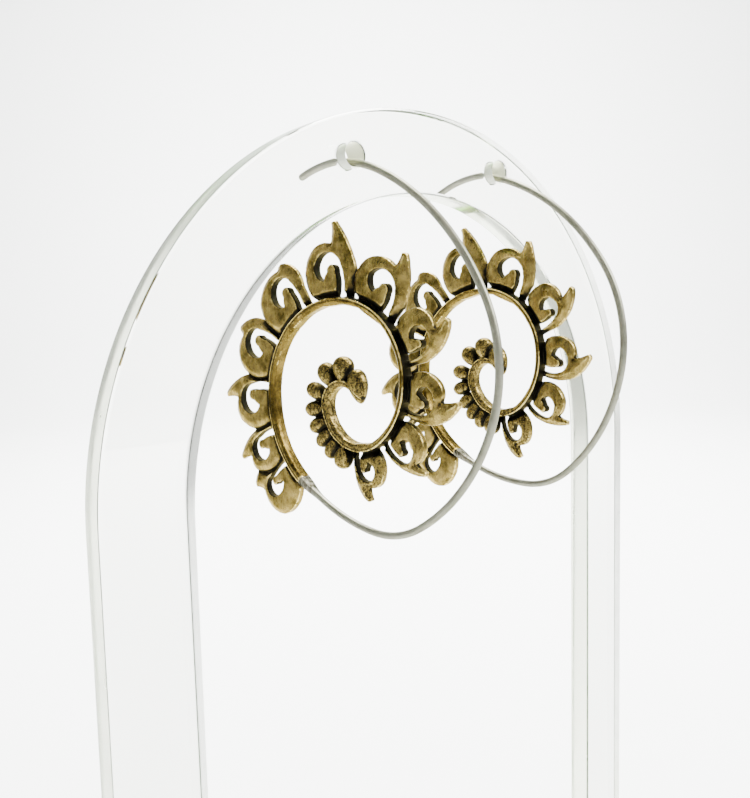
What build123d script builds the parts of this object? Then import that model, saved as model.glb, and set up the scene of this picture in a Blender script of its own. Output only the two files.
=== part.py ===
from build123d import *
import math
import os
from collections import namedtuple

# A pair of spiral hoop earrings hanging in the two holes of a clear acrylic arch stand.
# X runs along the arch plate, Y is its thickness (the rear is +Y), Z is up.
# The origin is the middle of the base's underside, on the plate's mid-plane.

# Stand, in mm
arch_radius = 46.0
arch_band = 10.3
plate_thickness = 3.3
arch_centre_height = 90.0
hole_diameter = 2.9
base_width = 104.0
base_depth = 52.0
base_thickness = 5.0
base_corner = 4.0
socket_depth = 3.2
socket_clearance = 0.15

# Ear wire and the solder cone that joins it to the casting
hoop_radius = 20.0
wire_diameter = 0.9
hole_clearance = 0.08
solder_length = 4.2
solder_depth = 1.56
solder_gap = 0.05

# Cast brass spiral: depths are measured across the earring, from its flat back
spiral_radius = 12.0
cast_depth = 1.7
rib_width = 0.9
plate_depth = 1.35
scroll_height = 8.0
scroll_foot_sink = 0.6
scroll_tip_width = 0.5
knob_length = 3.4
knob_width = 2.0
lobe_length = 4.3
lobe_width = 2.5
lobe_lean = 25.0

# The hoop is one line of tangent arcs that all turn clockwise, from the free tip of the wire
# to the joint, and on along the rib to the middle of the spiral. The radii are shares of the
# hoop's radius for the wire and of the spiral's for the rib.
Arc = namedtuple("Arc", "radius_share sweep")
wire_start_heading = 19.3
WIRE_ARCS = [
    Arc(0.900, 47.0),
    Arc(1.545, 37.9),
    Arc(0.950, 43.1),
    Arc(1.155, 40.7),
    Arc(0.545, 39.3),
    Arc(1.245, 30.2),
]
RIB_ARCS = [
    Arc(1.108, 64.0),
    Arc(1.008, 99.0),
    Arc(0.758, 124.5),
    Arc(0.446, 116.5),
    Arc(0.227, 150.0),
]

# Scrolls, from the joint inwards. The turns are degrees of the rib's bend since the joint and
# the height is a share of the tallest. The rest place the outline: shares of the foot's width
# along it and of the scroll's own height across it.
Scroll = namedtuple("Scroll", "turn_from turn_to height_share bulge notch tip_along tip_out hip flank_along flank_out")
SCROLLS = [
    Scroll(2, 19, 0.88, 0.22, 0.78, 1.10, 1.15, 1.10, 1.38, 0.86),
    Scroll(18, 38, 0.89, 0.24, 0.42, 0.52, 1.26, 1.06, 0.96, 0.86),
    Scroll(38, 63, 0.99, 0.22, 0.50, 0.54, 1.28, 1.02, 0.96, 0.86),
    Scroll(63, 89, 1.01, 0.34, 0.44, 0.54, 1.08, 1.04, 0.96, 0.86),
    Scroll(92, 119, 0.96, 0.38, 0.62, 0.72, 1.02, 1.04, 1.00, 0.86),
    Scroll(122, 151, 0.90, 0.18, 0.58, 0.68, 1.33, 1.16, 0.96, 0.86),
    Scroll(154, 190, 0.79, 0.20, 0.58, 0.66, 1.28, 1.10, 0.96, 0.86),
    Scroll(196, 223, 0.68, 0.36, 0.42, 0.34, 1.36, 1.06, 0.92, 0.98),
    Scroll(228, 257, 0.66, 0.20, 0.42, 0.32, 1.42, 1.06, 0.94, 0.99),
    Scroll(261, 289, 0.65, 0.24, 0.46, 0.42, 1.30, 1.02, 0.84, 0.92),
    Scroll(294, 336, 0.61, 0.18, 0.50, 0.52, 1.34, 1.02, 0.96, 0.86),
]

# The bends that all scrolls share, in the same shares of foot and height
belly_out = 0.38
shoulder_along = 0.10
shoulder_out = 0.78
crown_along = 0.27
crown_out = 0.99
notch_out = 0.97
lean_from_along = 0.84
lean_from_out = 0.62
hip_out = 0.42

# The comma cut through each scroll around its curled tongue. Each row is an arc that starts at
# its corner, passes its middle and ends at the next row's corner.
Bend = namedtuple("Bend", "corner_along corner_out middle_along middle_out")
COMMA = [
    Bend(0.58, -0.02, 0.70, 0.24),
    Bend(0.69, 0.48, 0.57, 0.62),
    Bend(0.46, 0.50, 0.40, 0.44),
    Bend(0.36, 0.36, 0.20, 0.44),
    Bend(0.15, 0.62, 0.44, 0.83),
    Bend(0.82, 0.60, 0.88, 0.30),
    Bend(0.80, -0.02, 0.69, -0.03),
]

# Knobs on the inner turn: the turn as above, the length beyond the rib and the width as shares
Knob = namedtuple("Knob", "turn length_share width_share")
KNOBS = [
    Knob(344, 0.91, 1.20),
    Knob(360, 0.94, 1.00),
    Knob(374, 0.97, 1.00),
    Knob(388, 1.00, 1.00),
    Knob(404, 1.03, 1.00),
    Knob(430, 1.00, 1.05),
    Knob(466, 0.88, 1.20),
    Knob(502, 0.85, 1.30),
]
knob_root_share = 0.5
knob_swell_share = 0.62

# Each earring hangs with the wire's given turn in its hole, swung in its own plane and turned
# about the vertical from square to the plate. The hole's place is its angle from the top of the
# arch and its inset from the outer edge as a share of the band.
Hang = namedtuple("Hang", "name hole_angle inset_share wire_turn swing yaw")
HANGS = [
    Hang("front", -17.95, 0.466, 28.6, 0.0, 6.0),
    Hang("back", 19.16, 0.355, 40.9, 8.9, 0.0),
]

wire_radius = wire_diameter / 2
hole_radius = hole_diameter / 2
wire_turn_total = sum(arc.sweep for arc in WIRE_ARCS)

Span = namedtuple("Span", "centre spoke radius heading sweep")


def spans_of(start, heading, radius, arcs):
    """A clockwise chain of tangent arcs, the point where it ends and its heading there."""
    spans = []
    for arc in arcs:
        spoke = Vector(1, 0).rotate(Axis.Z, heading + 90)
        reach = radius * arc.radius_share
        centre = start - spoke * reach
        spans.append(Span(centre, spoke, reach, heading, arc.sweep))
        start = centre + spoke.rotate(Axis.Z, -arc.sweep) * reach
        heading -= arc.sweep
    return spans, start, heading


wire_spans, joint, joint_heading = spans_of(Vector(0, 0), wire_start_heading, hoop_radius, WIRE_ARCS)
rib_spans, rib_end, rib_end_heading = spans_of(joint, joint_heading, spiral_radius, RIB_ARCS)


def place_at(turn, beyond=0.0):
    """Point at a turn past the joint, or before it, set out beyond the line, and its heading."""
    spans = rib_spans
    if turn < 0:
        spans = wire_spans
        turn += wire_turn_total
    for span in spans:
        if turn <= span.sweep or span is spans[-1]:
            break
        turn -= span.sweep
    return span.centre + span.spoke.rotate(Axis.Z, -turn) * (span.radius + beyond), span.heading - turn


def edge_of(spans, beyond=0.0):
    """The chain of arcs as edges, set out from the line by one distance."""
    edges = []
    for span in spans:
        spokes = [span.spoke.rotate(Axis.Z, -span.sweep * share) for share in (0, 0.5, 1)]
        edges.append(ThreePointArc(*[span.centre + spoke * (span.radius + beyond) for spoke in spokes]))
    return edges


def rib_face():
    """The spiral band, seen from the front, from the joint to the middle."""
    outer = edge_of(rib_spans, rib_width / 2)
    inner = edge_of(rib_spans, -rib_width / 2)
    ends = [Line(outer[0] @ 0, inner[0] @ 0), Line(outer[-1] @ 1, inner[-1] @ 1)]
    return make_face(outer + inner + ends)


def scroll_face(row):
    """One scroll: a leaf outline with a comma cut through it around its curled tongue."""
    height = scroll_height * row.height_share
    foot = place_at(row.turn_from, rib_width / 2)[0]
    along = place_at(row.turn_to, rib_width / 2)[0] - foot
    out = along.rotate(Axis.Z, 90).normalized() * height
    sink = -scroll_foot_sink / height

    def at(share_along, share_out):
        return foot + along * share_along + out * share_out

    tip = at(row.tip_along, row.tip_out)
    notch = at(row.notch, notch_out)
    across = (tip - at(lean_from_along, lean_from_out)).normalized()
    across = across.rotate(Axis.Z, -90) * (scroll_tip_width / 2)
    shoulder = at(shoulder_along - row.bulge, shoulder_out)
    crown = at(crown_along - row.bulge * belly_out, crown_out)
    flank = at(row.flank_along, row.flank_out)
    hip = at(row.hip, hip_out)
    outline = [
        ThreePointArc(at(0, sink), at(-row.bulge, belly_out), shoulder),
        ThreePointArc(shoulder, crown, notch),
        ThreePointArc(notch, (notch + tip) * 0.5 - across * 0.1, tip - across),
        Line(tip - across, tip + across),
        ThreePointArc(tip + across, flank, hip),
        Line(hip, at(1, sink)),
        Line(at(1, sink), at(0, sink)),
    ]
    corners = [at(bend.corner_along, bend.corner_out) for bend in COMMA]
    middles = [at(bend.middle_along, bend.middle_out) for bend in COMMA]
    nexts = corners[1:] + corners[:1]
    comma = [ThreePointArc(*places) for places in zip(corners, middles, nexts)]
    return make_face(outline) - make_face(comma)


def bead(root, angle, length, width):
    """A petal-shaped knob turned about its own axis, in the middle of the casting's depth."""
    seam_to_back = Rot(-97, 0, 0)
    root_radius = width / 2 * knob_root_share
    # A cubic curve whose middle reaches the knob's full radius
    pull = (width / 2 - root_radius / 8) * 4 / 3
    side = Bezier((0, root_radius), (length * knob_swell_share, pull), (length, pull), (length, 0))
    profile = make_face([side, Line((length, 0), (0, 0)), Line((0, 0), (0, root_radius))])
    knob = seam_to_back * revolve(profile, Axis.X)
    return Pos(root.X, root.Y, cast_depth / 2) * Rot(0, 0, angle) * knob


def beads():
    """The knobs along the inner turn and the long lobe that ends the spiral."""
    row_of_beads = []
    for row in KNOBS:
        root, heading = place_at(row.turn)
        length = knob_length * row.length_share + rib_width / 2
        row_of_beads.append(bead(root, heading + 90, length, knob_width * row.width_share))
    lobe_angle = rib_end_heading + 180 - lobe_lean
    lobe_root = rib_end - Vector(rib_width, 0).rotate(Axis.Z, lobe_angle)
    row_of_beads.append(bead(lobe_root, lobe_angle, lobe_length, lobe_width))
    return row_of_beads


def casting():
    """The brass spiral in its own plane, with its flat back at nought."""
    band = rib_face()
    flat = band
    for row in SCROLLS:
        flat += scroll_face(row)
    solid = extrude(flat, plate_depth, dir=(0, 0, 1)) + extrude(band, cast_depth, dir=(0, 0, 1))
    for piece in beads():
        solid += piece
    box = solid.bounding_box()
    behind = Pos(box.center().X, box.center().Y, box.min.Z / 2)
    return solid - behind * Box(box.size.X * 2, box.size.Y * 2, -box.min.Z)


def ear_wire():
    """The round wire with its rounded free tip and the solder cone at the joint."""
    path = Wire(edge_of(wire_spans))
    section = Plane(path @ 0, z_dir=path % 0) * Circle(wire_radius)
    wire = sweep(section, path=path) + Pos(*(path @ 0)) * Sphere(wire_radius)
    cone_turn = math.degrees(solder_length / wire_spans[-1].radius)
    gap_turn = math.degrees(solder_gap / wire_spans[-1].radius)
    sections = []
    for share in (1.0, 0.5, 0.0):
        point, heading = place_at(-gap_turn - (cone_turn - gap_turn) * share)
        growth = (1 - share) ** 2
        wide = wire_radius + (rib_width / 2 - wire_radius) * growth
        deep = wire_radius + (solder_depth / 2 - wire_radius) * growth
        across = Vector(1, 0).rotate(Axis.Z, heading + 90)
        plane = Plane(point, x_dir=across, z_dir=Vector(1, 0).rotate(Axis.Z, heading))
        sections.append(plane * Ellipse(wide, deep))
    wire += loft(sections)
    beyond = Plane(point, z_dir=Vector(1, 0).rotate(Axis.Z, heading))
    return wire - beyond * Pos(0, 0, cast_depth) * Box(2 * cast_depth, 2 * cast_depth, 2 * cast_depth)


def hole_of(row):
    """A hole's centre on the arch plate, across it and up."""
    out = arch_radius - arch_band * row.inset_share
    angle = math.radians(row.hole_angle)
    return out * math.sin(angle), arch_centre_height + out * math.cos(angle)


def hung(row, shape):
    """A shape of the earring's own plane, moved so that its wire rests in the row's hole."""
    point, heading = place_at(row.wire_turn - wire_turn_total)
    slope = math.tan(math.radians(heading + row.swing))
    half = plate_thickness / 2
    dip = abs(slope) * half + half**2 / (2 * wire_spans[0].radius)
    hole_x, hole_z = hole_of(row)
    rest = hole_z - hole_radius + wire_radius + hole_clearance + dip
    yaw = math.radians(row.yaw)
    plane = Plane(
        (hole_x, 0, rest),
        x_dir=(math.sin(yaw), -math.cos(yaw), 0),
        z_dir=(-math.cos(yaw), -math.sin(yaw), 0),
    )
    return plane.location * Rot(0, 0, row.swing) * Pos(-point.X, -point.Y, 0) * shape


def arch():
    """The clear arch: one band, round at the top, with a hole for each earring."""
    foot = base_thickness - socket_depth + socket_clearance
    leg = arch_centre_height - foot
    band = []
    for radius in (arch_radius, arch_radius - arch_band):
        disc = Pos(0, arch_centre_height) * Circle(radius)
        legs = Pos(0, foot + leg / 2) * Rectangle(2 * radius, leg)
        below = Pos(0, foot - radius) * Rectangle(2 * radius, 2 * radius)
        band.append(disc + legs - below)
    face = band[0] - band[1]
    for row in HANGS:
        face -= Pos(*hole_of(row)) * Circle(hole_radius)
    return Rot(90, 0, 0) * extrude(face, plate_thickness / 2, both=True)


def base():
    """The plain foot plate with a socket for each leg of the arch."""
    plate = extrude(RectangleRounded(base_width, base_depth, base_corner), base_thickness)
    leg_x = arch_radius - arch_band / 2
    length = arch_band + 2 * socket_clearance
    width = plate_thickness + 2 * socket_clearance
    for side in (-1, 1):
        plate -= Pos(side * leg_x, 0, base_thickness - socket_depth / 2) * Box(length, width, socket_depth)
    return plate


os.makedirs("parts", exist_ok=True)
nodes = {"display_arch": arch(), "stand_base": base()}
brass = Pos(0, 0, -cast_depth / 2) * casting()
silver = ear_wire()
for row in HANGS:
    nodes[row.name + "_spiral"] = hung(row, brass)
    nodes[row.name + "_ear_wire"] = hung(row, silver)
for name, shape in nodes.items():
    export_step(shape.solids()[0], "parts/" + name + ".step")
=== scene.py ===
import cmath
import math
from collections import namedtuple

import bmesh
import bpy
import numpy as np
from mathutils import Matrix, Vector, noise
from mathutils.bvhtree import BVHTree
from mathutils.kdtree import KDTree


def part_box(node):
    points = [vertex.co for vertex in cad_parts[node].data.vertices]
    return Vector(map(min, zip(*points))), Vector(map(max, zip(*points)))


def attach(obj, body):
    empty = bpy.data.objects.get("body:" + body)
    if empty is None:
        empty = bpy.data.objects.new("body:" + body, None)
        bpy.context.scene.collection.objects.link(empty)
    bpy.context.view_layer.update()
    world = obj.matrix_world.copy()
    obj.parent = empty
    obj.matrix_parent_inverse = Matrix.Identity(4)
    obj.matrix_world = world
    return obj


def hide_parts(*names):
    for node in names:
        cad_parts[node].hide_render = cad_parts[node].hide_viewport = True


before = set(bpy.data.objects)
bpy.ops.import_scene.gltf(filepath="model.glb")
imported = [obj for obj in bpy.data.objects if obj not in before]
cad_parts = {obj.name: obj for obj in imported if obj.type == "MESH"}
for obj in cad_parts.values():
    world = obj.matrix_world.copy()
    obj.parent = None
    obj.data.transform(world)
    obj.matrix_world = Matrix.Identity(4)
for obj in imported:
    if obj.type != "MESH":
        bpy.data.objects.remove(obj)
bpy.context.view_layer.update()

# The arch is one piece of clear cast acrylic: sawn from sheet, flame polished on its edges and
# drilled near the top for the two ear wires. Its legs stand in sockets of the foot plate.
arch_band = 0.0103
hole_diameter = 0.0029
edge_round = 0.0003
over_steps = 120
bore_steps = 48
polish_crease = 12
arch_low, arch_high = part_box("display_arch")
arch_radius = (arch_high.x - arch_low.x) / 2
arch_centre = arch_high.z - arch_radius
plate_thickness = arch_high.y - arch_low.y

# Each hole's angle from the top of the arch and its inset from the outer edge as a share of the band
Hole = namedtuple("Hole", "angle inset_share")
HOLES = {"front": Hole(-17.95, 0.466), "back": Hole(19.16, 0.355)}


def turned(degrees):
    """A unit step at an angle. Flat places are complex numbers, so that a product turns them."""
    return cmath.exp(1j * math.radians(degrees))


def ring(centre, radius, start, stop, count):
    """Places on a circle from one angle to another, both ends included."""
    return [centre + radius * turned(start + (stop - start) * k / count) for k in range(count + 1)]


def circle(centre, radius, count):
    """Places all round a circle."""
    return ring(centre, radius, 0, 360, count)[:-1]


def hole_place(hole):
    """A hole's centre on the arch plate: across it and up."""
    return 1j * arch_centre + (arch_radius - arch_band * hole.inset_share) * 1j * turned(-hole.angle)


def arch_side(radius):
    """The arch's outline at one radius, up one leg, over and down the other."""
    over = ring(1j * arch_centre, radius, 180, 0, over_steps)
    return [-radius + 1j * arch_low.z] + over + [radius + 1j * arch_low.z]


def flat_piece(name, loops, depth, rounding=0.0):
    """A plate in the XY plane between its outline and its holes, with rounded edges."""
    curve = bpy.data.curves.new(name, "CURVE")
    curve.dimensions = "2D"
    curve.fill_mode = "BOTH"
    curve.extrude = depth / 2 - rounding
    curve.bevel_depth = rounding
    curve.bevel_resolution = 2
    curve.offset = -rounding
    for loop in loops:
        spline = curve.splines.new("POLY")
        spline.points.add(len(loop) - 1)
        spline.use_cyclic_u = True
        for point, place in zip(spline.points, loop):
            point.co = (place.real, place.imag, 0, 1)
    shape = bpy.data.objects.new(name, curve)
    mesh = evaluated_mesh(name, shape)
    weld(mesh)
    return mesh


def evaluated_mesh(name, shape):
    """The plain mesh of an object with its modifiers done. The object itself goes."""
    bpy.context.scene.collection.objects.link(shape)
    bpy.context.view_layer.update()
    evaluated = shape.evaluated_get(bpy.context.evaluated_depsgraph_get())
    mesh = bpy.data.meshes.new_from_object(evaluated)
    mesh.name = name
    bpy.data.objects.remove(shape)
    return mesh


def weld(mesh, distance=1e-6):
    """Merges the seams of a mesh and turns its faces outwards."""
    work = bmesh.new()
    work.from_mesh(mesh)
    bmesh.ops.remove_doubles(work, verts=work.verts, dist=distance)
    bmesh.ops.recalc_face_normals(work, faces=work.faces)
    work.to_mesh(mesh)
    work.free()


def smooth_to(mesh, degrees):
    """Smooth shading, apart from edges sharper than an angle."""
    mesh.polygons.foreach_set("use_smooth", [True] * len(mesh.polygons))
    mesh.set_sharp_from_angle(angle=math.radians(degrees))


def add_piece(name, mesh, material, node):
    """Places a finished piece of the object, which stands for a CAD node."""
    mesh.materials.clear()
    mesh.materials.append(material)
    piece = bpy.data.objects.new(name, mesh)
    bpy.context.scene.collection.objects.link(piece)
    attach(piece, "root")
    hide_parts(node)


bores = [circle(hole_place(hole), hole_diameter / 2, bore_steps) for hole in HOLES.values()]
outline = arch_side(arch_radius) + arch_side(arch_radius - arch_band)[::-1]
arch_mesh = flat_piece("clear_arch", [outline] + bores, plate_thickness, edge_round)
arch_mesh.transform(Matrix.Rotation(math.radians(90), 4, "X"))
smooth_to(arch_mesh, polish_crease)


def plug(tree, value, socket):
    """Links a value to a socket or sets it there. A node stands for its first output."""
    if isinstance(value, bpy.types.Node):
        value = value.outputs[0]
    if isinstance(value, bpy.types.NodeSocket):
        tree.links.new(value, socket)
    else:
        socket.default_value = value


def step(tree, kind, operation=None, **inputs):
    """A node of a tree with its inputs filled. A numbered input is written as n0, n1."""
    made = tree.nodes.new(kind)
    if operation:
        made.operation = operation
    for label, value in inputs.items():
        key = label.replace("_", " ")
        if label[0] == "n" and label[1:].isdigit():
            key = int(label[1:])
        plug(tree, value, made.inputs[key])
    return made


def ranged(tree, value, low, high, to_low=0.0, to_high=1.0):
    """A value moved from one range to another, kept within it."""
    ends = {"From_Min": low, "From_Max": high, "To_Min": to_low, "To_Max": to_high}
    return step(tree, "ShaderNodeMapRange", Value=value, **ends)


def lamps_through(tree):
    """Lets the lamps' light through a clear material, as onto the floor under it."""
    shade = tree.nodes.new("ShaderNodeLightPath").outputs["Is Shadow Ray"]
    open_air = tree.nodes.new("ShaderNodeBsdfTransparent")
    through = step(tree, "ShaderNodeMixShader", n0=shade, n1=tree.nodes["Principled BSDF"], n2=open_air)
    plug(tree, through, tree.nodes["Material Output"].inputs["Surface"])


def clear_plastic(name, colour, shine, frost):
    """A clear acrylic surface with fine scuffs, from its shine to its frost in roughness."""
    made = bpy.data.materials.new(name)
    made.use_nodes = True
    tree = made.node_tree
    clear = tree.nodes["Principled BSDF"]
    clear.inputs["Base Color"].default_value = colour
    clear.inputs["IOR"].default_value = 1.49
    clear.inputs["Transmission Weight"].default_value = 1.0
    place = tree.nodes.new("ShaderNodeTexCoord").outputs["Object"]
    scuffs = step(tree, "ShaderNodeTexNoise", Vector=place, Scale=260, Detail=5)
    plug(tree, ranged(tree, scuffs, 0.35, 0.75, shine, frost), clear.inputs["Roughness"])
    tint = step(tree, "ShaderNodeVolumeAbsorption", Color=(0.80, 0.88, 0.50, 1), Density=22)
    plug(tree, tint, tree.nodes["Material Output"].inputs["Volume"])
    lamps_through(tree)
    return made


acrylic = clear_plastic("clear_acrylic", (0.99, 0.99, 0.98, 1), 0.01, 0.06)
cut_edge = clear_plastic("polished_edge", (0.97, 0.98, 0.91, 1), 0.16, 0.30)
drilled = bpy.data.materials.new("drilled_wall")
drilled.use_nodes = True
frosted = drilled.node_tree.nodes["Principled BSDF"]
frosted.inputs["Base Color"].default_value = (0.92, 0.96, 0.60, 1)
frosted.inputs["Roughness"].default_value = 0.45
frosted.inputs["Transmission Weight"].default_value = 0.75
lamps_through(drilled.node_tree)
add_piece("clear_arch", arch_mesh, acrylic, "display_arch")
arch_mesh.materials.append(cut_edge)
arch_mesh.materials.append(drilled)
edge_slot = 1
bore_slot = 2
for face in arch_mesh.polygons:
    at = face.center.x + 1j * face.center.z
    in_bore = any(abs(at - hole_place(hole)) < hole_diameter / 2 + edge_round for hole in HOLES.values())
    if abs(face.normal.y) < 0.5:
        face.material_index = bore_slot if in_bore else edge_slot

# The foot plate is thicker acrylic with rounded corners. Two sockets milled into its top hold
# the arch's legs. The photo's edge cuts it off, so it is finished plainly.
base_corner = 0.004
socket_depth = 0.0032
socket_clearance = 0.00015
corner_steps = 12
base_low, base_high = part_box("stand_base")
base_half = (base_high - base_low) / 2
corners = []
for quarter, (side_x, side_y) in enumerate(((1, 1), (-1, 1), (-1, -1), (1, -1))):
    centre = side_x * (base_half.x - base_corner) + 1j * side_y * (base_half.y - base_corner)
    corners += ring(centre, base_corner, quarter * 90, quarter * 90 + 90, corner_steps)
plate = flat_piece("plate", [corners], base_high.z - base_low.z, edge_round)
plate.transform(Matrix.Translation((0, 0, (base_high.z + base_low.z) / 2)))
cutters = bmesh.new()
for side in (-1, 1):
    middle = Vector((side * (arch_radius - arch_band / 2), 0, base_high.z))
    size = (arch_band + 2 * socket_clearance, plate_thickness + 2 * socket_clearance, 2 * socket_depth)
    bmesh.ops.create_cube(cutters, size=1, matrix=Matrix.LocRotScale(middle, None, size))
cutter_mesh = bpy.data.meshes.new("sockets")
cutters.to_mesh(cutter_mesh)
cutters.free()
sockets = bpy.data.objects.new("sockets", cutter_mesh)
bpy.context.scene.collection.objects.link(sockets)
body = bpy.data.objects.new("foot_plate", plate)
cut = body.modifiers.new("sockets", "BOOLEAN")
cut.operation = "DIFFERENCE"
cut.object = sockets
base_mesh = evaluated_mesh("clear_base", body)
bpy.data.objects.remove(sockets)
smooth_to(base_mesh, polish_crease)
add_piece("clear_base", base_mesh, acrylic, "stand_base")

# The spiral is lost-wax cast brass, antiqued dark and rubbed bright where it stands proud. Its
# line starts at the free tip of the ear wire, which the same chain of tangent arcs draws, and
# runs on past the solder joint along the casting's rib. These flat places are in mm.
hoop_radius = 20.0
spiral_radius = 12.0
wire_radius = 0.45
wire_start_heading = 19.3
Arc = namedtuple("Arc", "radius_share sweep")
WIRE_ARCS = [
    Arc(0.900, 47.0),
    Arc(1.545, 37.9),
    Arc(0.950, 43.1),
    Arc(1.155, 40.7),
    Arc(0.545, 39.3),
    Arc(1.245, 30.2),
]
RIB_ARCS = [
    Arc(1.108, 64.0),
    Arc(1.008, 99.0),
    Arc(0.758, 124.5),
    Arc(0.446, 116.5),
    Arc(0.227, 150.0),
]
wire_turn_total = sum(arc.sweep for arc in WIRE_ARCS)
Span = namedtuple("Span", "centre spoke radius heading sweep")


def spans_of(start, heading, radius, arcs):
    """A clockwise chain of tangent arcs, the point where it ends and its heading there."""
    spans = []
    for arc in arcs:
        spoke = 1j * turned(heading)
        reach = radius * arc.radius_share
        centre = start - spoke * reach
        spans.append(Span(centre, spoke, reach, heading, arc.sweep))
        start = centre + spoke * turned(-arc.sweep) * reach
        heading -= arc.sweep
    return spans, start, heading


wire_spans, joint, joint_heading = spans_of(0, wire_start_heading, hoop_radius, WIRE_ARCS)
rib_spans, rib_end, rib_end_heading = spans_of(joint, joint_heading, spiral_radius, RIB_ARCS)


def place_at(turn, beyond=0.0):
    """Place at a turn past the joint, or before it, set out beyond the line, and its heading."""
    spans = rib_spans
    if turn < 0:
        spans = wire_spans
        turn += wire_turn_total
    for span in spans:
        if turn <= span.sweep or span is spans[-1]:
            break
        turn -= span.sweep
    return span.centre + span.spoke * turned(-turn) * (span.radius + beyond), span.heading - turn


def line_of(spans, pace):
    """Places along a chain of arcs, about one pace apart, with both of its ends."""
    places = []
    for span in spans:
        count = max(2, round(math.radians(span.sweep) * span.radius / pace))
        for k in range(count):
            places.append(span.centre + span.spoke * turned(-span.sweep * k / count) * span.radius)
    last = spans[-1]
    return places + [last.centre + last.spoke * turned(-last.sweep) * last.radius]


cast_depth = 1.7
plate_depth = 1.35
rib_width = 0.9

# Eleven pierced scrolls stand on the rib's outer side, brass plates cast in one with it. Each is one
# leaf drawn with shares: of its width along the rib, between its two turns, and of its height out
# from the rib. Its bulge is how far it leans back over the scroll before.
scroll_height = 8.0
scroll_foot_sink = 0.6
scroll_tip_width = 0.62
scroll_belly = 0.38
heel_along = 0.97
notch_out = 0.97
hip_out = 0.42
cheek_out = 0.42
cheek_bulge = 0.95
shoulder_along = 0.10
shoulder_out = 0.78
brow_along = 0.27
brow_out = 0.99
brow_bulge = 0.38
lean_from_along = 0.84
lean_from_out = 0.62
Scroll = namedtuple(
    "Scroll",
    "turn_from turn_to height_share bulge notch tip_along tip_out hip flank_along flank_out",
)
SCROLLS = [
    Scroll(2, 19, 0.92, 0.58, 0.74, 1.10, 1.12, 1.10, 1.38, 0.86),
    Scroll(18, 38, 0.89, 0.24, 0.42, 0.52, 1.26, 1.06, 0.98, 0.89),
    Scroll(38, 63, 0.99, 0.22, 0.50, 0.54, 1.28, 1.02, 0.98, 0.89),
    Scroll(63, 89, 1.01, 0.34, 0.44, 0.54, 1.08, 1.04, 0.96, 0.86),
    Scroll(92, 119, 0.96, 0.38, 0.62, 0.72, 1.02, 1.04, 1.00, 0.86),
    Scroll(122, 151, 0.90, 0.18, 0.58, 0.68, 1.33, 1.16, 1.01, 0.91),
    Scroll(154, 190, 0.79, 0.20, 0.58, 0.66, 1.28, 1.10, 0.98, 0.89),
    Scroll(196, 223, 0.68, 0.36, 0.42, 0.34, 1.36, 1.06, 0.92, 0.98),
    Scroll(228, 257, 0.66, 0.20, 0.42, 0.32, 1.42, 1.06, 0.94, 0.99),
    Scroll(261, 289, 0.65, 0.24, 0.46, 0.42, 1.30, 1.02, 0.84, 0.92),
    Scroll(294, 336, 0.61, 0.18, 0.50, 0.52, 1.34, 1.02, 1.00, 0.90),
]

# The comma's corners and the middles of the bows between them, as the same shares
Bend = namedtuple("Bend", "corner_along corner_out middle_along middle_out")
COMMA = [
    Bend(0.58, -0.02, 0.70, 0.24),
    Bend(0.69, 0.48, 0.57, 0.62),
    Bend(0.46, 0.50, 0.40, 0.44),
    Bend(0.36, 0.36, 0.20, 0.44),
    Bend(0.15, 0.62, 0.44, 0.83),
    Bend(0.82, 0.60, 0.88, 0.30),
    Bend(0.80, -0.02, 0.69, -0.03),
]


def bow(start, middle, end, pace=0.25):
    """Places on the arc through three places, without its end."""
    a, b = middle - start, end - start
    cross = a.real * b.imag - a.imag * b.real
    if abs(cross) < 1e-6:
        return [start]
    centre = start + 1j * (abs(b) ** 2 * a - abs(a) ** 2 * b) / (2 * cross)
    sweep = (cmath.phase(end - centre) - cmath.phase(start - centre)) % (2 * math.pi)
    if cross < 0:
        sweep -= 2 * math.pi
    count = max(2, round(abs(sweep) * abs(start - centre) / pace))
    return [centre + (start - centre) * cmath.exp(1j * sweep * k / count) for k in range(count)]


def scroll_loops(row):
    """A scroll's leaf outline and the comma cut through it around its curled tongue."""
    height = scroll_height * row.height_share
    foot = place_at(row.turn_from, rib_width / 2)[0]
    along = place_at(row.turn_to, rib_width / 2)[0] - foot
    out = 1j * along / abs(along) * height
    sink = -scroll_foot_sink / height

    def at(share_along, share_out):
        return foot + along * share_along + out * share_out

    tip = at(row.tip_along, row.tip_out)
    notch = at(row.notch, notch_out)
    across = tip - at(lean_from_along, lean_from_out)
    across = across / abs(across) * -1j * scroll_tip_width / 2
    shoulder = at(shoulder_along - row.bulge, shoulder_out)
    leaf = bow(at(scroll_belly, sink), at(-row.bulge * cheek_bulge, cheek_out), shoulder)
    leaf += bow(shoulder, at(brow_along - row.bulge * brow_bulge, brow_out), notch)
    leaf += bow(notch, (notch + tip) / 2 - across * 0.1, tip - across)
    leaf.append(tip - across)
    hip = at(row.hip, hip_out)
    leaf += bow(tip + across, at(row.flank_along, row.flank_out), hip)
    leaf += [hip, at(heel_along, sink)]
    corners = [at(bend.corner_along, bend.corner_out) for bend in COMMA]
    middles = [at(bend.middle_along, bend.middle_out) for bend in COMMA]
    comma = []
    for corner, middle, following in zip(corners, middles, corners[1:] + corners[:1]):
        comma += bow(corner, middle, following)
    return [leaf, comma]


casting_parts = []
for row in SCROLLS:
    leaf_mesh = flat_piece("scroll", scroll_loops(row), plate_depth)
    leaf_mesh.transform(Matrix.Translation((0, 0, (plate_depth - cast_depth) / 2)))
    casting_parts.append(leaf_mesh)


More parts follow.
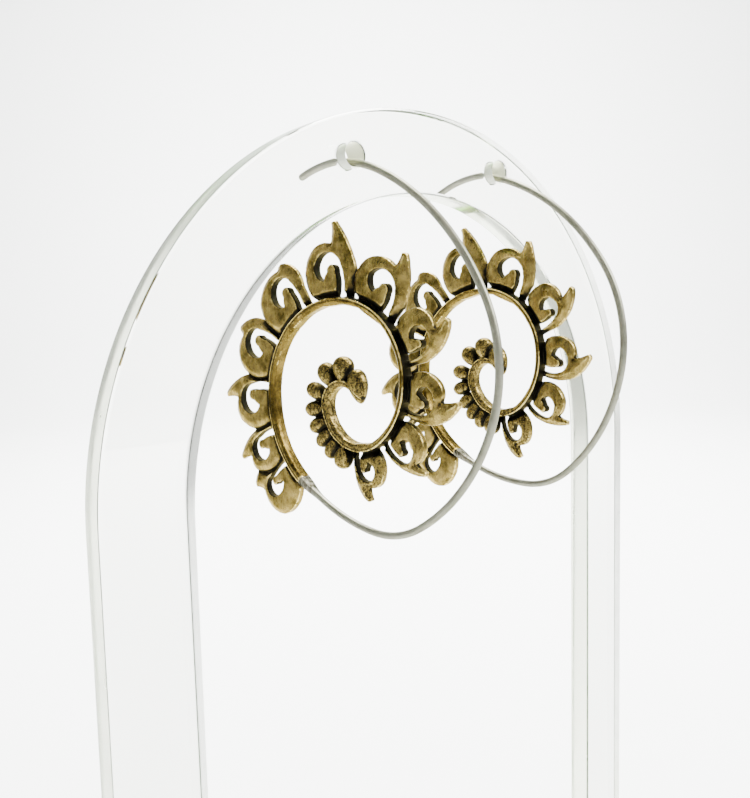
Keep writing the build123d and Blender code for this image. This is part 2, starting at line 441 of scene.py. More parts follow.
def points_mesh(name, places, joined, **numbers):
    """An object of flat places, joined as a line, as a ring or not at all, with numbers on them."""
    count = len(places)
    pairs = []
    if joined:
        pairs = [(k, k + 1) for k in range(count - 1)]
    if joined == "ring":
        pairs.append((count - 1, 0))
    mesh = bpy.data.meshes.new(name)
    mesh.from_pydata([(place.real, place.imag, 0) for place in places], pairs, [])
    for label, values in numbers.items():
        mesh.attributes.new(label, "FLOAT", "POINT").data.foreach_set("value", values)
    return bpy.data.objects.new(name, mesh)


def new_tree(name, **sockets):
    """A geometry node tree with a shape going in and out, and its named inputs."""
    tree = bpy.data.node_groups.new(name, "GeometryNodeTree")
    tree.interface.new_socket("Geometry", in_out="INPUT", socket_type="NodeSocketGeometry")
    tree.interface.new_socket("Geometry", in_out="OUTPUT", socket_type="NodeSocketGeometry")
    for label, kind in sockets.items():
        tree.interface.new_socket(label, in_out="INPUT", socket_type=kind)
    return tree, tree.nodes.new("NodeGroupInput").outputs


def number_of(tree, label):
    """The socket that reads a named number of the points."""
    reader = tree.nodes.new("GeometryNodeInputNamedAttribute")
    reader.inputs["Name"].default_value = label
    return reader.outputs["Attribute"]


def end_tree(tree, geometry, material):
    """Ends a tree with real meshes that carry a material."""
    real = step(tree, "GeometryNodeRealizeInstances", Geometry=geometry)
    coated = step(tree, "GeometryNodeSetMaterial", Geometry=real, Material=material)
    step(tree, "NodeGroupOutput", Geometry=coated)


def grown(name, source, tree, **values):
    """The plain mesh that a tree makes of an object, with the tree's inputs set by identifier."""
    modifier = source.modifiers.new(name, "NODES")
    modifier.node_group = tree
    for item in tree.interface.items_tree:
        if item.in_out == "INPUT" and item.name in values:
            modifier[item.identifier] = values[item.name]
    mesh = evaluated_mesh(name, source)
    weld(mesh, 1e-5)
    return mesh


brass = bpy.data.materials.new("antique_brass")

# The rib is the casting's backbone, a brass bar that curls in to the middle with its back flat and
# its face falling away to the inner side. Its section is drawn along the line, as the wire's is.
drawn_tree, given = new_tree("drawn_along", Section="NodeSocketObject", Coat="NodeSocketMaterial")
section_info = step(drawn_tree, "GeometryNodeObjectInfo", Object=given["Section"])
bar = step(
    drawn_tree,
    "GeometryNodeCurveToMesh",
    Curve=step(drawn_tree, "GeometryNodeMeshToCurve", Mesh=given["Geometry"]),
    Profile_Curve=step(drawn_tree, "GeometryNodeMeshToCurve", Mesh=section_info.outputs["Geometry"]),
    Scale=number_of(drawn_tree, "swell"),
    Fill_Caps=True,
)
end_tree(drawn_tree, bar, given["Coat"])


def drawn_along(name, places, swells, corners, coat):
    """The plain mesh of a section drawn along a line, swollen at each place by its share."""
    section = points_mesh(name + "_section", corners, "ring")
    bpy.context.scene.collection.objects.link(section)
    path = points_mesh(name + "_path", places, "line", swell=swells)
    mesh = grown(name, path, drawn_tree, Section=section, Coat=coat)
    bpy.data.objects.remove(section)
    return mesh


RibCorner = namedtuple("RibCorner", "outwards forwards")
RIB_SECTION = [
    RibCorner(0.45, -0.85),
    RibCorner(0.45, 0.80),
    RibCorner(0.40, 0.85),
    RibCorner(0.10, 0.84),
    RibCorner(-0.12, 0.77),
    RibCorner(-0.30, 0.62),
    RibCorner(-0.42, 0.38),
    RibCorner(-0.45, 0.05),
    RibCorner(-0.45, -0.85),
]
rib_pace = 0.3
rib_places = line_of(rib_spans, rib_pace)
rib_corners = [-corner.outwards - 1j * corner.forwards for corner in RIB_SECTION]
casting_parts.append(drawn_along("rib", rib_places, [1.0] * len(rib_places), rib_corners, brass))

# Eight solid brass knobs stand on the inner turn and a long lobe closes the rib's end, all cast in
# one with it. Each has its turn, and its length beyond the rib and its width as shares of the usual.
knob_length = 3.4
knob_width = 2.0
lobe_length = 4.3
lobe_width = 2.5
lobe_lean = 25.0
lobe_shift = 0.55 - 0.45j
front_swell = 0.5
Knob = namedtuple("Knob", "turn length_share width_share")
KNOBS = [
    Knob(344, 0.91, 1.20),
    Knob(360, 0.94, 1.00),
    Knob(374, 0.97, 1.00),
    Knob(388, 1.00, 1.00),
    Knob(404, 1.03, 1.00),
    Knob(430, 1.00, 1.05),
    Knob(466, 0.88, 1.20),
    Knob(502, 0.85, 1.30),
]


def reckoned(tree, operation, *values):
    """A math node of a tree, with its numbers in their order."""
    return step(tree, "ShaderNodeMath", operation, **{f"n{k}": value for k, value in enumerate(values)})


def place_in(tree):
    """The X, Y and Z sockets of each point's place."""
    position = tree.nodes.new("GeometryNodeInputPosition")
    return step(tree, "ShaderNodeSeparateXYZ", Vector=position).outputs


knob_inputs = {"Back": "NodeSocketFloat", "Swell": "NodeSocketFloat", "Coat": "NodeSocketMaterial"}
knob_tree, given = new_tree("knobs", **knob_inputs)
ball = step(knob_tree, "GeometryNodeMeshUVSphere", Segments=40, Rings=28, Radius=0.5)
where = place_in(knob_tree)
belly = reckoned(knob_tree, "MULTIPLY_ADD", where["Z"], given["Swell"], 1.0)
laid = step(
    knob_tree,
    "ShaderNodeCombineXYZ",
    X=reckoned(knob_tree, "ADD", where["Z"], 0.5),
    Y=reckoned(knob_tree, "MULTIPLY", where["X"], belly),
    Z=reckoned(knob_tree, "MULTIPLY", where["Y"], belly),
)
width = number_of(knob_tree, "width")
lean = number_of(knob_tree, "lean")
row_of_knobs = step(
    knob_tree,
    "GeometryNodeInstanceOnPoints",
    Points=given["Geometry"],
    Instance=step(knob_tree, "GeometryNodeSetPosition", Geometry=ball, Position=laid),
    Rotation=step(knob_tree, "FunctionNodeAxisAngleToRotation", Axis=(0, 0, 1), Angle=lean),
    Scale=step(knob_tree, "ShaderNodeCombineXYZ", X=number_of(knob_tree, "length"), Y=width, Z=width),
)
solid_knobs = step(knob_tree, "GeometryNodeRealizeInstances", Geometry=row_of_knobs)
where = place_in(knob_tree)
front = reckoned(knob_tree, "MAXIMUM", where["Z"], given["Back"])
flattened = step(knob_tree, "ShaderNodeCombineXYZ", X=where["X"], Y=where["Y"], Z=front)
cut_back = step(knob_tree, "GeometryNodeSetPosition", Geometry=solid_knobs, Position=flattened)
end_tree(knob_tree, cut_back, given["Coat"])

lobe_angle = rib_end_heading + 180 - lobe_lean
roots = [place_at(row.turn)[0] for row in KNOBS] + [rib_end - rib_width * turned(lobe_angle) + lobe_shift]
leans = [place_at(row.turn)[1] + 90 for row in KNOBS] + [lobe_angle]
knob_points = points_mesh(
    "knob_points",
    roots,
    None,
    lean=[math.radians(lean) for lean in leans],
    length=[knob_length * row.length_share + rib_width / 2 for row in KNOBS] + [lobe_length],
    width=[knob_width * row.width_share for row in KNOBS] + [lobe_width],
)
back = -cast_depth / 2
casting_parts.append(grown("knobs", knob_points, knob_tree, Back=back, Swell=front_swell, Coat=brass))

# The wax of scrolls, rib and knobs is melted together and cast in one. Its pieces are fused to one
# skin here, which is softened as the edges of a wax pattern are.
voxel = 0.1
soften_share = 0.5
soften_steps = 2
joined = bmesh.new()
for part in casting_parts:
    joined.from_mesh(part)
fused = bpy.data.meshes.new("cast")
joined.to_mesh(fused)
joined.free()
cast = bpy.data.objects.new("cast", fused)
fuse = cast.modifiers.new("fuse", "REMESH")
fuse.mode = "VOXEL"
fuse.voxel_size = voxel
soften = cast.modifiers.new("soften", "SMOOTH")
soften.factor = soften_share
soften.iterations = soften_steps
cast_mesh = evaluated_mesh("cast", cast)


def vertex_arrays(mesh):
    """Places and normals of a mesh's vertices, and its edges, as arrays."""
    places = np.empty(len(mesh.vertices) * 3)
    mesh.vertices.foreach_get("co", places)
    normals = np.empty(len(mesh.vertices) * 3)
    mesh.vertices.foreach_get("normal", normals)
    edges = np.empty(len(mesh.edges) * 2, dtype=int)
    mesh.edges.foreach_get("vertices", edges)
    return places.reshape(-1, 3), normals.reshape(-1, 3), edges.reshape(-1, 2)


def near_mean(values, edges):
    """The mean over each vertex's neighbours."""
    total = np.zeros(len(values))
    for here, there in ((0, 1), (1, 0)):
        total += np.bincount(edges[:, here], weights=values[edges[:, there]], minlength=len(values))
    return total / np.bincount(edges.ravel(), minlength=len(values)).clip(1)


def evened(values, edges, rounds, share):
    """Values drawn towards the mean of their neighbours by a share, over some rounds."""
    for _ in range(rounds):
        values = near_mean(values, edges) * share + values * (1 - share)
    return values


def store(mesh, label, values):
    """Keeps one number on each vertex."""
    mesh.attributes.new(label, "FLOAT", "POINT").data.foreach_set("value", values)


def within(places, loop):
    """Which flat places lie within a loop."""
    crossings = np.zeros(len(places), dtype=int)
    for one, two in zip(loop, loop[1:] + loop[:1]):
        if one.imag != two.imag:
            across = one.real + (places.imag - one.imag) / (two.imag - one.imag) * (two.real - one.real)
            crossings += ((one.imag > places.imag) != (two.imag > places.imag)) & (across > places.real)
    return crossings % 2 == 1


def finder(places):
    """A search tree of flat places."""
    tree = KDTree(len(places))
    for index, place in enumerate(places):
        tree.insert((place.real, place.imag, 0), index)
    tree.balance()
    return tree


def fading(distance, reach):
    """A share that is 1 on a line and falls off away from it."""
    return np.exp(-((distance / reach) ** 2))


def near_step(values, low, high):
    """A share that rises from 0 to 1 between two values."""
    share = ((values - low) / (high - low)).clip(0, 1)
    return share * share * (3 - 2 * share)


# The carver's work in the wax: every scroll is domed, slopes down to its trailing side, so that the
# next one laps over it with a furrow between, and lies lower at its foot. A furrow sets off the
# rib's outer rim. Furrows, feet and cut walls keep the dark patina; the laps and the feet beside the
# rib are darkened further with painted shadow.
rim_pace = 0.07
rib_line_step = 0.5
rib_line_steps = 1100
seen_loops = [scroll_loops(row) for row in SCROLLS]
rim_places = []
rim_is_comma = []
lap_places = []
for index, loops in enumerate(seen_loops):
    for loop in loops:
        steps = []
        for one, two in zip(loop, loop[1:] + loop[:1]):
            count = max(1, round(abs(two - one) / rim_pace))
            steps += [one + (two - one) * k / count for k in range(count)]
        steps = np.array(steps)
        hidden = np.zeros(len(steps), dtype=bool)
        lapping = np.zeros(len(steps), dtype=bool)
        for other, (leaf, comma) in enumerate(seen_loops):
            if other > index:
                hidden |= within(steps, leaf)
            if other < index:
                lapping |= within(steps, leaf) & ~within(steps, comma)
        rim_places += list(steps[~hidden])
        rim_is_comma += [loop is loops[1]] * int((~hidden).sum())
        lap_places += list(steps[lapping & ~hidden])
rims = finder(rim_places)
laps = finder(lap_places)
Along = namedtuple("Along", "place outwards turn")
rib_line = []
for k in range(rib_line_steps):
    place, heading = place_at(k * rib_line_step)
    rib_line.append(Along(place, turned(heading + 90), k * rib_line_step))
rib_finder = finder([row.place for row in rib_line])

plate_top = plate_depth - cast_depth / 2
plate_middle = plate_top - plate_depth / 2
plate_over = 0.22
plate_fade = 0.08
plate_margin = 0.05
plate_slope = 0.24
slope_from = -0.3
slope_to = 1.1
dome_ease = 0.46
dome_reach = 0.55
dome_back_share = 0.3
foot_drop = 0.50
foot_from = 0.6
foot_to = 1.5
bevel_depth = 0.10
bevel_from = 0.02
bevel_to = 0.22
lap_depth = 0.14
lap_reach = 0.14
furrow_depth = 0.11
furrow_from_line = 0.16
furrow_reach = 0.09
rib_face_low = 0.45
rib_face_high = 0.6
rib_face_reach = rib_width * 0.6
plates_from = rib_width * 0.45
plates_to = rib_width * 0.7
Relief = namedtuple("Relief", "size depth")
RELIEF = [Relief(0.38, 0.020), Relief(0.9, 0.024), Relief(2.4, 0.034)]
places, normals, edges = vertex_arrays(cast_mesh)
spots = [Vector((x, y, 0)) for x, y in places[:, :2]]
flat = places[:, 0] + 1j * places[:, 1]
nearest_rims = [rims.find(spot) for spot in spots]
rim_far = np.array([found[2] for found in nearest_rims])
comma_near = np.array([rim_is_comma[found[1]] for found in nearest_rims])
lap_far = np.array([laps.find(spot)[2] for spot in spots])
nearest_line = [rib_line[rib_finder.find(spot)[1]] for spot in spots]
line_turn = np.array([row.turn for row in nearest_line])
outwards = np.array([row.outwards for row in nearest_line])
beside = ((flat - np.array([row.place for row in nearest_line])) * outwards.conj()).real
height = places[:, 2].copy()
facing = normals[:, 2]

slope = np.zeros(len(places))
for row, (leaf, comma) in zip(SCROLLS, seen_loops):
    foot = place_at(row.turn_from, rib_width / 2)[0]
    along = place_at(row.turn_to, rib_width / 2)[0] - foot
    share = ((flat - foot) / along).real
    mine = within(flat, leaf)
    slope[mine] = plate_slope * share[mine].clip(slope_from, slope_to)
slope = evened(slope, edges, 3, 1)
beyond_rib = near_step(beside, plates_from, plates_to)
on_plates = near_step(plate_top + plate_over - height, 0, plate_fade) * beyond_rib
on_plates *= line_turn < KNOBS[0].turn
upper = ((height - plate_top + plate_depth) / plate_depth).clip(0, 1) * on_plates
topside = near_step(height, plate_middle, plate_top - plate_margin) * on_plates
lower = near_step(plate_middle - height, 0, plate_depth / 2 - plate_margin) * on_plates
dome = dome_ease * fading(rim_far, dome_reach)
foot_share = 1 - near_step(beside, foot_from, foot_to)
bevel = comma_near * (1 - near_step(rim_far, bevel_from, bevel_to))
drop = slope + dome * ~comma_near + bevel_depth * bevel + foot_drop * foot_share
places[:, 2] -= upper * (drop + lap_depth * fading(lap_far, lap_reach))
places[:, 2] += lower * dome * dome_back_share
on_rib_face = near_step(height, rib_face_low, rib_face_high) * near_step(facing, 0.2, 0.5)
on_rib_face *= abs(beside) < rib_face_reach
places[:, 2] -= on_rib_face * furrow_depth * fading(beside - furrow_from_line, furrow_reach)
for index, (p, n) in enumerate(zip(places, normals)):
    places[index] += n * sum(noise.noise(Vector(p) / row.size) * row.depth for row in RELIEF)
cast_mesh.vertices.foreach_set("co", places.ravel())
cast_mesh.update()

# Where the dark patina stays, with painted shade and shadow beside the rib, in the laps and round the
# commas, from 0 to 1, and the turns over which the casting looks more aged
cut_reach = 0.3
comma_rim_reach = 0.10
comma_rim_shade_dark = 0.8
rib_wall_reach = 0.75
rib_wall_top = 0.72
feet_dark = 0.75
rib_furrow_dark = 0.8
aged_from = 230
aged_to = 320
wall = 1 - near_step(abs(facing), 0.35, 0.8)
cut_walls = on_plates * wall * comma_near * near_step(-rim_far, -cut_reach, -0.1)
# Painted shade: the top of each scroll is darkened along the rim of its comma.
comma_rim_shade = comma_rim_shade_dark * on_plates * topside * comma_near * fading(rim_far, comma_rim_reach)
# Patina and painted shadow: the rib's outer wall above the plates is darkened.
rib_wall_shade_and_patina = wall * near_step(beside, 0.25, 0.4) * (beside < rib_wall_reach) * (height < rib_wall_top)
# Patina and painted shadow in the furrow where each scroll laps the one before.
lap_shadow_and_patina = topside * fading(lap_far, lap_reach * 1.2)
# Patina and painted shadow: the scroll feet beside the rib are darkened to a dark channel.
feet_shade_and_patina = feet_dark * on_plates * foot_share
rib_furrow = rib_furrow_dark * on_rib_face * fading(beside - furrow_from_line, furrow_reach * 0.8)
# Patina together with painted shade and shadow, kept on the vertices from 0 to 1.
patina_and_shade = np.maximum.reduce([cut_walls, comma_rim_shade, rib_wall_shade_and_patina, lap_shadow_and_patina, feet_shade_and_patina, rib_furrow])
store(cast_mesh, "patina_and_shade", evened(patina_and_shade, edges, 2, 0.5))
store(cast_mesh, "aged", near_step(line_turn, aged_from, aged_to))
store(cast_mesh, "rib", 1 - near_step(abs(beside), rib_width / 2, 0.6))
most_triangles = 190000
thinned = bpy.data.objects.new("cast", cast_mesh)
thinning = thinned.modifiers.new("fewer", "DECIMATE")
thinning.ratio = min(1, most_triangles / (len(cast_mesh.polygons) * 2))
cast_mesh = evaluated_mesh("cast", thinned)

# The cast is blackened, and rubbing brightens it again wherever a cloth can reach. Kept for this on
# the skin: the share of the lines of sight that the casting blocks far off and close by, and how
# sharply the skin bends, in 1/mm.
far_sight = 2.2
far_fade = 0.5
close_sight = 0.5
skin_lift = 0.02
ray_count = 7
ray_tilt = math.radians(55)
places, normals, edges = vertex_arrays(cast_mesh)
skin = BVHTree.FromPolygons(places.tolist(), [tuple(face.vertices) for face in cast_mesh.polygons])
around = [2 * math.pi * k / ray_count for k in range(ray_count)]
recess = np.zeros(len(places))
corner = np.zeros(len(places))
for index, (p, n) in enumerate(zip(places, normals)):
    normal = Vector(n)
    start = Vector(p) + normal * skin_lift
    first = normal.orthogonal().normalized()
    second = normal.cross(first)
    rays = [normal]
    for angle in around:
        aside = first * math.cos(angle) + second * math.sin(angle)
        rays.append(normal * math.cos(ray_tilt) + aside * math.sin(ray_tilt))
    for ray in rays:
        reach = skin.ray_cast(start, ray, far_sight)[3]
        if reach is not None:
            recess[index] += 1 - reach / far_sight * far_fade
            corner[index] += max(0, 1 - reach / close_sight)
gaps = ((places[edges[:, 0]] - places[edges[:, 1]]) ** 2).sum(axis=1)
around_mean = np.column_stack([near_mean(places[:, k], edges) for k in range(3)])
count = np.bincount(edges.ravel(), minlength=len(places)).clip(1)
gap_mean = np.bincount(edges.ravel(), weights=np.repeat(gaps, 2), minlength=len(places)) / count
bend = 2 * ((places - around_mean) * normals).sum(axis=1) / gap_mean
store(cast_mesh, "recess", evened(recess / len(rays), edges, 3, 0.5))
store(cast_mesh, "corner", evened(corner / len(rays), edges, 3, 0.5))
store(cast_mesh, "bend", evened(bend, edges, 3, 0.6))
smooth_to(cast_mesh, 180)

# Each earring hangs loose, its wire resting low in its hole a hair clear of the acrylic. The front
# one is turned a little about the upright and the back one has swung. Angles are in degrees.
Hang = namedtuple("Hang", "hole wire_turn swing yaw")
HANGS = {"front": Hang(HOLES["front"], 28.6, 0.0, 6.0), "back": Hang(HOLES["back"], 40.9, 8.9, 0.0)}
hole_clearance = 0.08
to_metres = 0.001


def hung(row):
    """The matrix from an earring's flat plane in mm to its place in its hole."""
    point, heading = place_at(row.wire_turn - wire_turn_total)
    slope = math.tan(math.radians(heading + row.swing))
    half = plate_thickness / 2 / to_metres
    dip = abs(slope) * half + half**2 / (2 * wire_spans[0].radius)
    hole = hole_place(row.hole)
    rest = hole.imag + (wire_radius + hole_clearance + dip) * to_metres - hole_diameter / 2
    yaw = math.radians(row.yaw)
    across = (math.sin(yaw), -math.cos(yaw), 0, 0)
    forward = (-math.cos(yaw), -math.sin(yaw), 0, 0)
    plane = Matrix((across, (0, 0, 1, 0), forward, (hole.real, 0, rest, 1))).transposed()
    swung = Matrix.Rotation(math.radians(row.swing), 4, "Z")
    return plane @ Matrix.Scale(to_metres, 4) @ swung @ Matrix.Translation((-point.real, -point.imag, 0))


for name, row in HANGS.items():
    mesh = cast_mesh.copy()
    mesh.transform(hung(row))
    add_piece(name + "_spiral_casting", mesh, brass, name + "_spiral")


# Both metals have the same fine grain: casting pits, rub marks drawn out up the piece, and a slow
# change of tone. Its scales are per metre. The brass then keeps its patina in hollows, corners,
# inner bends and pits, is darkened with painted shade and shadow beside the rib, in its laps and
# round its commas, and shows worn metal along outer bends, which also serves as a painted highlight.
def shader_group(name, inputs, outputs):
    """A shader node group with named number inputs and outputs."""
    group = bpy.data.node_groups.new(name, "ShaderNodeTree")
    for label, value in inputs.items():
        socket = group.interface.new_socket(label, in_out="INPUT", socket_type="NodeSocketFloat")
        socket.default_value = value
    for label in outputs:
        group.interface.new_socket(label, in_out="OUTPUT", socket_type="NodeSocketFloat")
    return group, group.nodes.new("NodeGroupInput").outputs, group.nodes.new("NodeGroupOutput").inputs


grain, given, out = shader_group("metal_grain", {"Size": 1.0}, ["Pits", "Rubs", "Tone"])
coords = grain.nodes.new("ShaderNodeTexCoord").outputs["Object"]
sized = step(grain, "ShaderNodeVectorMath", "SCALE", Vector=coords, Scale=given["Size"])
drawn_out = step(grain, "ShaderNodeVectorMath", "MULTIPLY", n0=sized, n1=(1.0, 1.0, 0.25))
pits = step(grain, "ShaderNodeTexNoise", Vector=sized, Scale=4200, Detail=3, Roughness=0.6)
rubs = step(grain, "ShaderNodeTexNoise", Vector=drawn_out, Scale=2600, Detail=6, Roughness=0.7)
tone = step(grain, "ShaderNodeTexNoise", Vector=sized, Scale=500, Detail=4, Roughness=0.6)
for label, source in (("Pits", pits), ("Rubs", rubs), ("Tone", tone)):
    plug(grain, source, out[label])


def blended(tree, share, first, second):
    """Two colours mixed by a share."""
    made = tree.nodes.new("ShaderNodeMix")
    made.data_type = "RGBA"
    for number, value in ((0, share), (6, first), (7, second)):
        plug(tree, value, made.inputs[number])
    return made.outputs[2]


def grain_in(tree, size):
    """The grain placed in a material."""
    made = tree.nodes.new("ShaderNodeGroup")
    made.node_tree = grain
    made.inputs["Size"].default_value = size
    return made.outputs


def attribute_in(tree, label):
    """The number kept on the vertices."""
    made = tree.nodes.new("ShaderNodeAttribute")
    made.attribute_name = label
    return made.outputs["Fac"]


brass.use_nodes = True
tree = brass.node_tree
metal = tree.nodes["Principled BSDF"]
marks = grain_in(tree, 1.0)
aged = attribute_in(tree, "aged")
bend = attribute_in(tree, "bend")
hollow = reckoned(tree, "MULTIPLY_ADD", marks["Tone"], 0.30, attribute_in(tree, "recess"))
# The stored patina with its painted shade and shadow, streaked by the rub marks.
furrowed = reckoned(tree, "MULTIPLY_ADD", marks["Rubs"], 0.8, attribute_in(tree, "patina_and_shade"))
pitted = reckoned(tree, "MULTIPLY_ADD", aged, 0.15, marks["Pits"])
dark = ranged(tree, hollow, 0.26, 0.44)
dark = reckoned(tree, "ADD", dark, ranged(tree, attribute_in(tree, "corner"), 0.015, 0.12))
dark = reckoned(tree, "ADD", dark, ranged(tree, bend, -0.9, -2.6))
dark = reckoned(tree, "ADD", dark, ranged(tree, furrowed, 0.62, 1.1))
dark = reckoned(tree, "ADD", dark, ranged(tree, pitted, 0.62, 0.74, 0.0, 0.85))
dark.use_clamp = True
cloudy = ranged(tree, marks["Tone"], 0.35, 0.65)
streaky = ranged(tree, marks["Rubs"], 0.4, 0.6)
rubbed = blended(tree, cloudy, (0.070, 0.050, 0.011, 1), (0.265, 0.193, 0.056, 1))
# The rib's own warmer brass, darkened further as painted shade.
rib_gold_and_shade = blended(tree, cloudy, (0.034, 0.023, 0.005, 1), (0.118, 0.081, 0.018, 1))
brown = blended(tree, streaky, (0.055, 0.040, 0.011, 1), (0.24, 0.176, 0.050, 1))
coloured = blended(tree, attribute_in(tree, "rib"), rubbed, rib_gold_and_shade)
coloured = blended(tree, aged, coloured, brown)
# Worn brass along outer bends, which also serves as a painted highlight on the rims.
coloured = blended(tree, ranged(tree, bend, 0.9, 2.6), coloured, (0.74, 0.58, 0.20, 1))
coloured = blended(tree, dark, coloured, (0.008, 0.0075, 0.005, 1))
plug(tree, coloured, metal.inputs["Base Color"])
metal.inputs["Metallic"].default_value = 1.0
metal.inputs["Specular Tint"].default_value = (0.88, 0.79, 0.55, 1)
polish = ranged(tree, marks["Rubs"], 0.3, 0.7, 0.20, 0.36)
plug(tree, reckoned(tree, "MULTIPLY_ADD", dark, 0.3, polish), metal.inputs["Roughness"])
bump = step(tree, "ShaderNodeBump", Strength=0.5, Distance=0.00005, Height=marks["Pits"])
plug(tree, bump, metal.inputs["Normal"])

# The ear wire is round silver wire bent by hand, with its free tip filed round. Its other end is
# soldered to the casting with a cone of silver solder that swells to the rib's size.
solder_length = 4.2
solder_depth = 1.56
solder_gap = 0.05
solder_swell = 0.08
square_share = 0.8
square_least = 0.7
lump_share = 0.10
lump_pace = 9
wire_sides = 24
wire_pace = 0.25
tip_steps = 8
tip_least = 0.03
silver = bpy.data.materials.new("silver_wire")
wire_places = line_of(wire_spans, wire_pace)
cone_turn = math.degrees(solder_length / wire_spans[-1].radius)
gap_turn = math.degrees(solder_gap / wire_spans[-1].radius)
while abs(wire_places[-1] - joint) < solder_gap:
    wire_places.pop()
wire_places.append(place_at(-gap_turn)[0])
tip_places = []
tip_swells = []
for k in range(tip_steps):
    angle = math.pi / 2 * k / tip_steps
    tip_places.append(-wire_radius * turned(wire_start_heading) * math.cos(angle))
    tip_swells.append(max(math.sin(angle), tip_least))
swells = tip_swells + [1.0] * len(wire_places)
wire_corners = circle(0, wire_radius, wire_sides)
wire_mesh = drawn_along("ear_wire", tip_places + wire_places, swells, wire_corners, silver)
solder_from = place_at(-cone_turn)[0]
solder_way = turned(place_at(-cone_turn / 2)[1])
places = vertex_arrays(wire_mesh)[0]
flat = places[:, 0] + 1j * places[:, 1]
shares = ((flat - solder_from) * solder_way.conjugate()).real / solder_length
shares[abs(flat - joint) > solder_length + 1] = 0
growth = near_step(shares, 0.0, 0.9)
sides = np.array([turned(place_at(-cone_turn * (1 - share))[1] + 90) for share in shares.clip(0, 1)])
lines = np.array([place_at(-cone_turn * (1 - share))[0] for share in shares.clip(0, 1)])
off = ((flat - lines) * sides.conj()).real / wire_radius
up = places[:, 2] / wire_radius
side_reach = np.maximum.reduce([abs(off), abs(up), np.full(len(off), square_least)])
squaring = 1 + growth * square_share * (1 / side_reach - 1).clip(0, 1)
swollen = growth * (1 + lump_share * np.sin(shares * lump_pace)) * solder_swell
moved = flat + sides * off * wire_radius * (squaring * (1 + swollen) - 1) * (growth > 0)
places[:, 0] = moved.real
places[:, 1] = moved.imag
places[:, 2] *= (1 + (solder_depth / 2 / wire_radius - 1) * growth) * squaring
places[:, 2] = places[:, 2].clip(-solder_depth / 2, solder_depth / 2)
wire_mesh.vertices.foreach_set("co", places.ravel())
store(wire_mesh, "solder", shares.clip(0, 1))
smooth_to(wire_mesh, 60)
for name, row in HANGS.items():
    mesh = wire_mesh.copy()
    mesh.transform(hung(row))
    add_piece(name + "_silver_wire", mesh, silver, name + "_ear_wire")

silver.use_nodes = True
tree = silver.node_tree
metal = tree.nodes["Principled BSDF"]
marks = grain_in(tree, 0.8)
cloudy = ranged(tree, marks["Tone"], 0.35, 0.7)
lumpy = ranged(tree, marks["Rubs"], 0.42, 0.60)
soldered = ranged(tree, attribute_in(tree, "solder"), 0.15, 0.5)
tarnish = blended(tree, cloudy, (0.15, 0.15, 0.112, 1), (0.22, 0.218, 0.17, 1))
solder = blended(tree, lumpy, (0.03, 0.027, 0.016, 1), (0.20, 0.19, 0.145, 1))
plug(tree, blended(tree, soldered, tarnish, solder), metal.inputs["Base Color"])
metal.inputs["Metallic"].default_value = 1.0
metal.inputs["Specular Tint"].default_value = (0.50, 0.50, 0.45, 1)
plug(tree, ranged(tree, marks["Rubs"], 0.3, 0.7, 0.36, 0.48), metal.inputs["Roughness"])
bump = step(tree, "ShaderNodeBump", Strength=0.2, Distance=0.00002, Height=marks["Pits"])
plug(tree, bump, metal.inputs["Normal"])

# The stand rests on plain pale paper, flat under it and curving up to a pale wall all round, so
# that no line shows where the floor ends.
floor_flat = 0.9
floor_curve = 0.6
wall_top = 1.9
curve_steps = 24
round_steps = 96
profile = [0j] + ring(floor_flat + 1j * floor_curve, floor_curve, -90, 0, curve_steps)
profile.append(floor_flat + floor_curve + 1j * wall_top)
floor_work = bmesh.new()
line = [floor_work.verts.new((place.real, 0, place.imag)) for place in profile]
sides = [floor_work.edges.new(pair) for pair in zip(line, line[1:])]
bmesh.ops.spin(
    floor_work,
    geom=line + sides,
    cent=(0, 0, 0),
    axis=(0, 0, 1),
    angle=2 * math.pi,
    steps=round_steps,
)
bmesh.ops.remove_doubles(floor_work, verts=floor_work.verts, dist=1e-5)
floor_mesh = bpy.data.meshes.new("floor")
floor_work.to_mesh(floor_mesh)
floor_work.free()
smooth_to(floor_mesh, 180)
paper = bpy.data.materials.new("pale_paper")
paper.use_nodes = True
matt = paper.node_tree.nodes["Principled BSDF"]
matt.inputs["Base Color"].default_value = (0.84, 0.85, 0.84, 1)
matt.inputs["Roughness"].default_value = 0.9
floor_mesh.materials.append(paper)
floor = bpy.data.objects.new("floor", floor_mesh)
bpy.context.scene.collection.objects.link(floor)

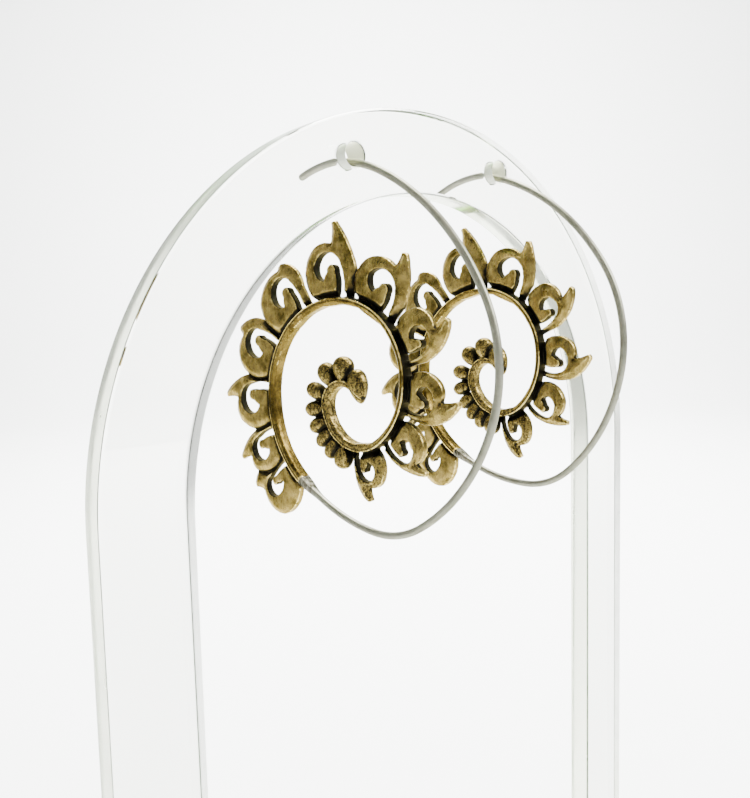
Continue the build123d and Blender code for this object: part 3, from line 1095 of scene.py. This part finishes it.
# The studio has a pale sky above the wall and three soft lamps. The far wall and the floor beyond
# the stand are lit strongest, so that the metal has dimmer places to reflect on the camera's side.
# Each lamp stands at an azimuth in degrees and so many metres away and up, and aims at a place.
world = bpy.data.worlds.new("pale_studio")
world.use_nodes = True
sky = world.node_tree.nodes["Background"]
sky.inputs["Color"].default_value = (0.97, 0.98, 1.0, 1)
sky.inputs["Strength"].default_value = 0.35
bpy.context.scene.world = world
Lamp = namedtuple("Lamp", "azimuth away up aim_away aim_up width spread watts")
LAMPS = {
    "soft_key": Lamp(-60, 0.50, 0.52, 0.0, 0.09, 0.45, 180, 15.0),
    "soft_top": Lamp(47, 0.30, 0.75, 0.35, 0.0, 0.50, 100, 18.0),
    "wall_wash": Lamp(47, 0.50, 0.95, 1.3, 0.25, 0.80, 110, 40.0),
}
for name, row in LAMPS.items():
    light = bpy.data.lights.new(name, "AREA")
    light.energy = row.watts
    light.shape = "DISK"
    light.size = row.width
    light.spread = math.radians(row.spread)
    lamp = bpy.data.objects.new(name, light)
    across = turned(row.azimuth)
    lamp.location = (across.real * row.away, across.imag * row.away, row.up)
    aim = across * row.aim_away
    away = lamp.location - Vector((aim.real, aim.imag, row.aim_up))
    lamp.rotation_euler = away.to_track_quat("Z", "Y").to_euler()
    bpy.context.scene.collection.objects.link(lamp)

# The camera stands where the photo was taken, given from the arch's centre in metres, with its
# turn, tilt and roll in degrees and the lens that the photo's angle of view asks for.
camera_place = Vector((-0.07662, -0.07387, 0.01966))
camera_turn = -42.437
camera_tilt = 90 - 5.429
camera_roll = -1.426
camera_data = bpy.data.cameras.new("camera")
camera_data.sensor_width = 36
camera_data.lens = 36.39
camera_data.clip_start = 0.005
camera = bpy.data.objects.new("camera", camera_data)
aim = Matrix.Identity(4)
for angle, axis in ((camera_turn, "Z"), (camera_tilt, "X"), (camera_roll, "Z")):
    aim = aim @ Matrix.Rotation(math.radians(angle), 4, axis)
camera.matrix_world = Matrix.Translation(Vector((0, 0, arch_centre)) + camera_place) @ aim
bpy.context.scene.collection.objects.link(camera)
bpy.context.scene.camera = camera
